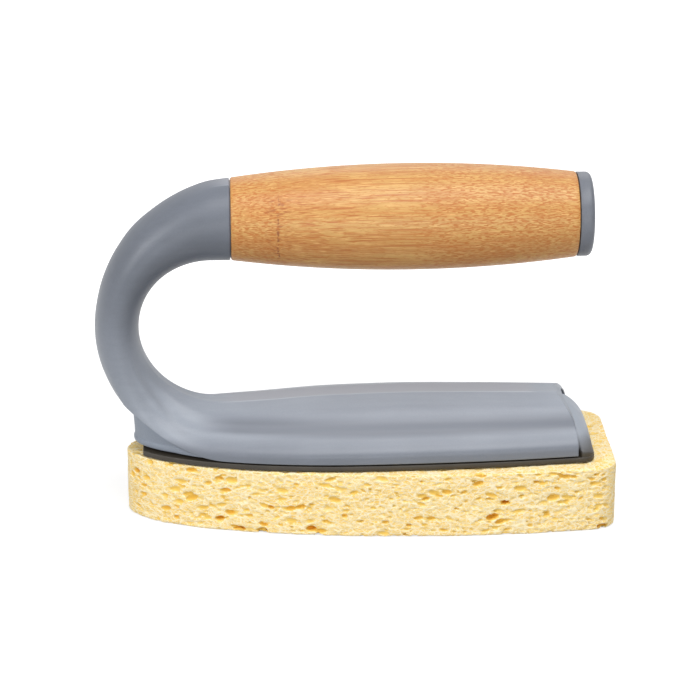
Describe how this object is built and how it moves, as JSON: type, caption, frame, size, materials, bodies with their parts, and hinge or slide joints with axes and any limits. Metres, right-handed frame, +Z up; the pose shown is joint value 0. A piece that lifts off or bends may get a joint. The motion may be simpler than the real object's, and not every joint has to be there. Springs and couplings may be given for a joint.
{
  "type": "tub scrub brush",
  "caption": "Bath scrubber: C-shaped plastic handle with a turned bamboo grip over an iron-shaped base, and a slide-off cellulose sponge head.",
  "frame": {"origin": "middle of the whole brush in plan, on the sponge's flat underside", "axes": "+X along the grip, from the loop towards the open end; +Z up; +Y across the brush"},
  "size_m": [0.1905, 0.0658, 0.1326],
  "materials": {
    "handle_plastic": "satin moulded polypropylene, slate grey",
    "frame_plastic": "satin moulded polypropylene, slate grey",
    "plate_plastic": "satin moulded polypropylene, dark grey",
    "cap_plastic": "satin moulded polypropylene, slate grey",
    "bamboo": "turned bamboo, thin satin lacquer",
    "cellulose": "open-pored cellulose sponge, pale yellow",
    "brass": "turned brass",
    "steel": "zinc plated steel",
    "spring_steel": "rolled spring steel"
  },
  "bodies": {
    "handle": {"handle_body": "handle_plastic", "grip": "bamboo", "end_cap": "cap_plastic", "rail_frame": "frame_plastic", "threaded_insert": "brass", "tie_rod": "steel", "rod_washer": "steel", "rod_nut": "steel", "rail_screw_left_front": "steel", "rail_screw_left_back": "steel", "rail_screw_right_front": "steel", "rail_screw_right_back": "steel", "heel_screw": "steel", "detent_spring": "spring_steel"},
    "head": {"head_plate": "plate_plastic", "sponge": "cellulose"}
  },
  "joints": [
    {"name": "head_slide", "type": "slide", "parent": "handle", "child": "head", "axis": [1, 0, 0], "range_m": [0, 0.11], "deforming": ["detent_spring"]}
  ]
}
